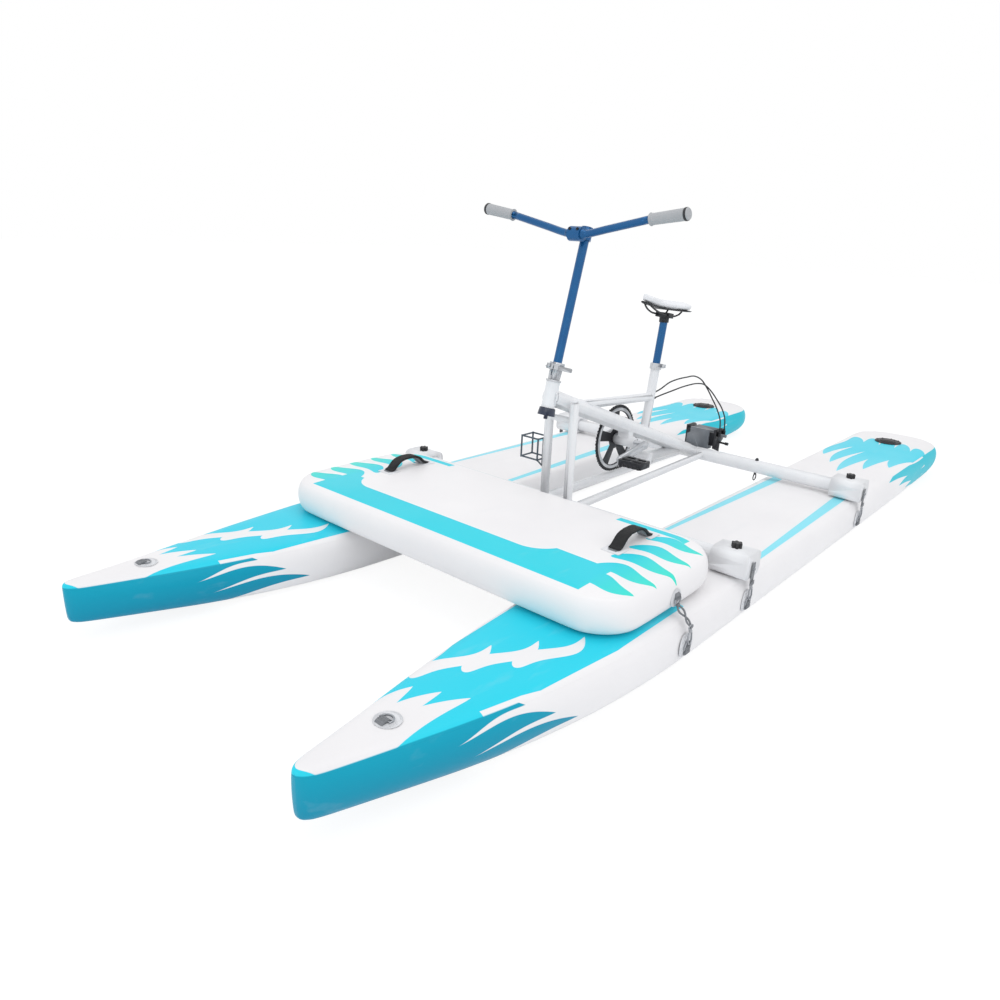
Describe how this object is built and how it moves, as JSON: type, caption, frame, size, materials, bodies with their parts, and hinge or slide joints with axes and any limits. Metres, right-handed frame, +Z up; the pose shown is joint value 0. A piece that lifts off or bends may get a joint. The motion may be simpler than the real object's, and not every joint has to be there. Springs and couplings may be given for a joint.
{
  "type": "pontoon water bike",
  "caption": "Pedal-driven water bike: two inflatable pontoons with a front platform carry a welded bicycle frame, saddle, cable steering and a steerable rear drive head.",
  "frame": {"origin": "on the ground below the middle of the pontoons", "axes": "+Z up, -Y towards the bows, +X to the port side"},
  "size_m": [1.5092, 3.85, 1.1928],
  "materials": {
    "hull_skin": "satin",
    "platform_skin": "satin",
    "webbing": "woven",
    "frame_paint": "gloss",
    "moulded": "matte",
    "blue_anodised": "anodised",
    "navy": "satin",
    "black": "matte",
    "black_steel": "satin",
    "grip_rubber": "matte",
    "steel": "brushed",
    "alloy": "satin",
    "grey_cast": "satin",
    "dark_wire": "satin"
  },
  "bodies": {
    "hull_and_frame": {"hull_port": "hull_skin", "hull_starboard": "hull_skin", "front_platform": "platform_skin", "valve_port": "black", "valve_starboard": "black", "steering_cable_upper": "black", "steering_cable_lower": "black", "bow_ring_port": "steel", "bow_ring_starboard": "steel", "seat_clamp_collar": "steel", "platform_strap_port": "steel", "platform_strap_starboard": "steel", "front_strap_port": "steel", "front_strap_starboard": "steel", "rear_strap_port": "steel", "rear_strap_starboard": "steel", "platform_handle_port": "webbing", "platform_handle_starboard": "webbing", "front_crossbar": "frame_paint", "rear_crossbar": "frame_paint", "main_tube": "frame_paint", "rear_mount": "frame_paint", "head_tube": "frame_paint", "seat_tube": "frame_paint", "top_tube": "frame_paint", "front_legs": "frame_paint", "lower_rail_port": "frame_paint", "lower_rail_starboard": "frame_paint", "saddle_front_port": "moulded", "saddle_front_starboard": "moulded", "saddle_rear_port": "moulded", "saddle_rear_starboard": "moulded", "drive_chain": "black_steel", "tilt_bracket": "black_steel", "drive_tube": "grey_cast", "bottle_cage": "dark_wire"},
    "steering": {"steerer_crown": "navy", "stem_clamp_collar": "grey_cast"},
    "stem": {"stem_tube": "blue_anodised", "bar_clamp": "blue_anodised", "handlebar": "blue_anodised", "grip_port": "grip_rubber", "grip_starboard": "grip_rubber"},
    "stem_lever": {"stem_lever": "alloy"},
    "seat": {"seat_post": "blue_anodised", "saddle_clamp": "black", "saddle_shell": "black", "saddle_cushion": "platform_skin"},
    "seat_lever": {"seat_lever": "alloy"},
    "crankset": {"crank_port": "alloy", "crank_starboard": "alloy", "chainwheel": "black_steel", "chain_guard_ring": "alloy"},
    "pedal_port": {"pedal_port": "steel"},
    "pedal_starboard": {"pedal_starboard": "steel"},
    "sprocket": {"jackshaft_sprocket": "grey_cast"},
    "tilt_block": {"tilt_block": "grey_cast"},
    "gear_head": {"gear_head": "grey_cast"},
    "output": {"output_coupling": "steel"}
  },
  "joints": [
    {"name": "steering_turn", "type": "hinge", "parent": "hull_and_frame", "child": "steering", "pos_m": [0, -0.55, 0.5401], "axis": [0, 0.2538, 0.9673], "range_deg": [-45, 45]},
    {"name": "stem_height", "type": "slide", "parent": "steering", "child": "stem", "axis": [0, 0.2538, 0.9673], "range_m": [-0.025, 0.06]},
    {"name": "stem_lever_swing", "type": "hinge", "parent": "steering", "child": "stem_lever", "pos_m": [0.0208, -0.54294, 0.6909], "axis": [0, 0.2538, 0.9673], "range_deg": [-150, 0]},
    {"name": "seat_height", "type": "slide", "parent": "hull_and_frame", "child": "seat", "axis": [0, 0.1392, 0.9903], "range_m": [-0.1, 0.05]},
    {"name": "seat_lever_swing", "type": "hinge", "parent": "hull_and_frame", "child": "seat_lever", "pos_m": [0.0208, 0.16905, 0.62464], "axis": [0, 0.1392, 0.9903], "range_deg": [0, 150]},
    {"name": "crank_spin", "type": "hinge", "parent": "hull_and_frame", "child": "crankset", "pos_m": [0, -0.035, 0.35088], "axis": [1, 0, 0], "continuous": true},
    {"name": "pedal_port_spin", "type": "hinge", "parent": "crankset", "child": "pedal_port", "pos_m": [0.098, -0.2083, 0.32652], "axis": [1, 0, 0], "continuous": true},
    {"name": "pedal_starboard_spin", "type": "hinge", "parent": "crankset", "child": "pedal_starboard", "pos_m": [-0.098, 0.1383, 0.37523], "axis": [1, 0, 0], "continuous": true},
    {"name": "sprocket_spin", "type": "hinge", "parent": "hull_and_frame", "child": "sprocket", "pos_m": [0, 0.12666, 0.24986], "axis": [1, 0, 0], "continuous": true},
    {"name": "head_tilt", "type": "hinge", "parent": "hull_and_frame", "child": "tilt_block", "pos_m": [0, 0.6705, 0.2671], "axis": [1, 0, 0], "range_deg": [0, 80]},
    {"name": "head_swivel", "type": "hinge", "parent": "tilt_block", "child": "gear_head", "pos_m": [0, 0.6705, 0.2671], "axis": [0, 0, 1], "range_deg": [-45, 45]},
    {"name": "output_spin", "type": "hinge", "parent": "gear_head", "child": "output", "pos_m": [0, 0.6705, 0.1848], "axis": [0, 0, 1], "continuous": true}
  ],
  "couplings": [
    {"joint": "sprocket_spin", "follows": "crank_spin", "ratio": 4},
    {"joint": "output_spin", "follows": "crank_spin", "ratio": 8},
    {"joint": "head_swivel", "follows": "steering_turn", "ratio": -1}
  ]
}
